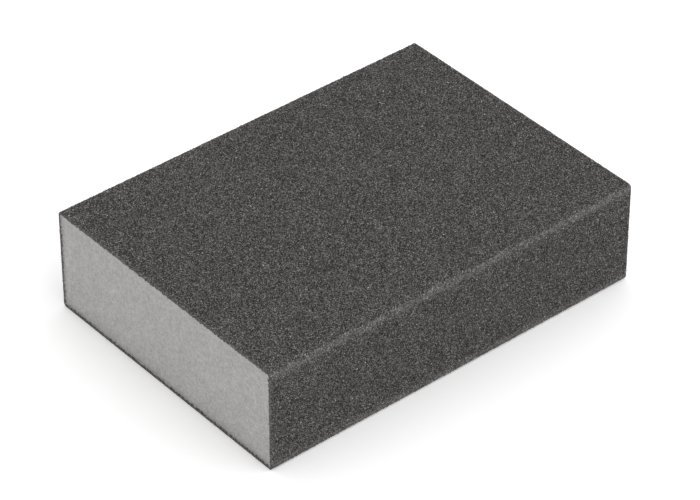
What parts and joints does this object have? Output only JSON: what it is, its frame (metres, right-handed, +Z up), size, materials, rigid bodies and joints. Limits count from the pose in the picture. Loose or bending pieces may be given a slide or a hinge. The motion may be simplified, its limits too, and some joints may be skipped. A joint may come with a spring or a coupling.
{
  "type": "sanding sponge",
  "caption": "Rectangular hand sanding block: a brick of soft light-grey foam with a dark grit coat on its long faces and bare cut ends.",
  "frame": {"origin": "middle of the bottom coated face, the one the block rests on", "axes": "+X along the block's length, from one bare cut end to the other; +Y across its width; +Z up through its thickness"},
  "size_m": [0.0974, 0.07, 0.025],
  "materials": {
    "foam": "matte",
    "grit": "matte"
  },
  "bodies": {
    "root": {"foam_block": "foam", "abrasive_coat": "grit"}
  },
  "joints": []
}
